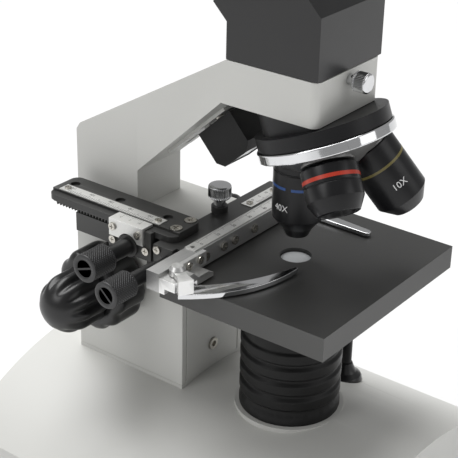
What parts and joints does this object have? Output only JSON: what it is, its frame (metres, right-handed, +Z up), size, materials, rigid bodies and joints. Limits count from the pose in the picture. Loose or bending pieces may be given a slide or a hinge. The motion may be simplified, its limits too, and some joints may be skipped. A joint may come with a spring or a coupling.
{
  "type": "compound microscope",
  "caption": "Student compound microscope with a monocular head, triple nosepiece, rack focusing, mechanical stage with slide holder, and lamps above and below.",
  "frame": {"origin": "on the table, under the middle of the outline", "axes": "+Z up, -Y to the front of the base, +X to the right of a person who looks at the front from behind the arm"},
  "size_m": [0.145, 0.178, 0.3149],
  "materials": {
    "body_paint": "fine satin",
    "black_paint": "satin",
    "stage_paint": "matt",
    "black_plastic": "satin",
    "gloss_black": "gloss",
    "knob_black": "satin",
    "rubber": "matt",
    "steel": "brushed",
    "screws": "nickel plate",
    "chrome": "polished",
    "bar_aluminium": "satin",
    "cast_aluminium": "tumbled",
    "scale_plate": "engraved",
    "brass": "turned",
    "glass": "polished",
    "circuit": "solder mask"
  },
  "bodies": {
    "stand": {"base_shell": "body_paint", "base_plate": "black_paint", "rubber_feet": "rubber", "stand_screws": "screws", "column_housing": "body_paint", "front_cover": "body_paint", "arm": "body_paint", "shaft_bushes": "brass", "illuminator_housing": "black_plastic", "illuminator_lens": "glass", "circuit_boards": "circuit", "stop_post": "black_paint", "post_boot": "rubber", "nosepiece_mount": "black_paint", "turret_pivot_screw": "screws", "lamp_bracket": "black_paint"},
    "stage": {"stage_plate": "stage_paint", "stage_bracket": "black_paint", "stage_screws": "screws", "stage_condenser": "glass", "y_carriage": "stage_paint", "y_bearing": "stage_paint", "y_vernier": "scale_plate"},
    "diaphragm": {"diaphragm_disc": "black_paint"},
    "coarse_focus": {"coarse_knobs": "gloss_black", "coarse_shaft": "steel"},
    "fine_focus": {"fine_knobs": "gloss_black", "fine_shaft": "steel"},
    "y_drive": {"y_knob": "knob_black"},
    "cross_guide": {"y_bar": "stage_paint", "y_scale": "scale_plate", "x_guide": "stage_paint", "x_vernier": "scale_plate", "guide_screws": "screws"},
    "guide_clamp": {"guide_clamp_screw": "chrome"},
    "x_drive": {"x_knob": "knob_black"},
    "slide_holder": {"x_bar": "bar_aluminium", "x_scale": "scale_plate", "x_bar_screws": "screws", "finger_block": "cast_aluminium", "fixed_finger": "chrome"},
    "spring_finger": {"curved_finger": "chrome", "finger_lever": "cast_aluminium"},
    "nosepiece": {"turret": "steel", "turret_ring": "chrome", "objective_4x": "black_paint", "objective_10x": "black_paint", "objective_40x": "black_paint", "objective_lenses": "glass"},
    "head": {"prism_housing": "gloss_black", "prism": "glass", "eyepiece_tube": "black_paint"},
    "eyepiece_unit": {"eyepiece": "black_plastic", "eyepiece_lenses": "glass", "eyecup": "rubber"},
    "head_lock": {"head_lock_screw": "chrome"},
    "upper_lamp": {"lamp_housing": "black_plastic", "lamp_lens": "glass"},
    "dimmer": {"dimmer_knob": "knob_black"},
    "power_switch": {"power_rocker": "gloss_black"}
  },
  "joints": [
    {"name": "stage_lift", "type": "slide", "parent": "stand", "child": "stage", "axis": [0, 0, 1], "range_m": [-0.003, 0.0063]},
    {"name": "coarse_turn", "type": "hinge", "parent": "stand", "child": "coarse_focus", "pos_m": [0, 0.043, 0.0902], "axis": [1, 0, 0], "range_deg": [-46, 23]},
    {"name": "fine_turn", "type": "hinge", "parent": "stand", "child": "fine_focus", "pos_m": [0, 0.043, 0.0902], "axis": [1, 0, 0], "continuous": true},
    {"name": "nosepiece_turn", "type": "hinge", "parent": "stand", "child": "nosepiece", "pos_m": [0, -0.03979, 0.16576], "axis": [0, 0.3681, 0.9298], "continuous": true},
    {"name": "head_turn", "type": "hinge", "parent": "stand", "child": "head", "pos_m": [0, -0.029, 0.194], "axis": [0, 0, 1], "continuous": true},
    {"name": "eyepiece_lift", "type": "slide", "parent": "head", "child": "eyepiece_unit", "axis": [0, 0.7071, 0.7071], "range_m": [0, 0.026]},
    {"name": "head_lock_turn", "type": "hinge", "parent": "stand", "child": "head_lock", "pos_m": [0, -0.049, 0.1904], "axis": [0, -1, 0], "range_deg": [0, 720]},
    {"name": "lamp_tilt", "type": "hinge", "parent": "stand", "child": "upper_lamp", "pos_m": [0, 0.00828, 0.15682], "axis": [1, 0, 0], "range_deg": [0, 12]},
    {"name": "diaphragm_turn", "type": "hinge", "parent": "stage", "child": "diaphragm", "pos_m": [0, -0.043, 0.104], "axis": [0, 0, 1], "continuous": true},
    {"name": "cross_slide", "type": "slide", "parent": "stage", "child": "cross_guide", "axis": [0, 1, 0], "range_m": [-0.022, 0]},
    {"name": "cross_knob_turn", "type": "hinge", "parent": "stage", "child": "y_drive", "pos_m": [0, 0.0229, 0.1169], "axis": [1, 0, 0], "range_deg": [-1, 281]},
    {"name": "guide_clamp_turn", "type": "hinge", "parent": "cross_guide", "child": "guide_clamp", "pos_m": [0, 0.0079, 0.125], "axis": [0, 0, 1], "range_deg": [0, 360]},
    {"name": "slide_travel", "type": "slide", "parent": "cross_guide", "child": "slide_holder", "axis": [1, 0, 0], "range_m": [-0.025, 0.02]},
    {"name": "travel_knob_turn", "type": "hinge", "parent": "cross_guide", "child": "x_drive", "pos_m": [0, 0.0028, 0.1173], "axis": [1, 0, 0], "range_deg": [-1130, 905]},
    {"name": "finger_swing", "type": "hinge", "parent": "slide_holder", "child": "spring_finger", "pos_m": [-0.05, -0.0116, 0.117], "axis": [0, 0, 1], "range_deg": [-30, 0], "stiffness_Nm_per_rad": 0.02, "springref_deg": 17.19},
    {"name": "dimmer_turn", "type": "hinge", "parent": "stand", "child": "dimmer", "pos_m": [0.025, 0.084, 0.017], "axis": [0, 1, 0], "range_deg": [-135, 135]},
    {"name": "power_rock", "type": "hinge", "parent": "stand", "child": "power_switch", "pos_m": [0, 0.082, 0.017], "axis": [1, 0, 0], "range_deg": [-8, 8]}
  ],
  "couplings": [
    {"joint": "coarse_turn", "follows": "stage_lift", "rad_per_m": -125},
    {"joint": "cross_knob_turn", "follows": "cross_slide", "rad_per_m": -222.22},
    {"joint": "travel_knob_turn", "follows": "slide_travel", "rad_per_m": 785.4}
  ]
}
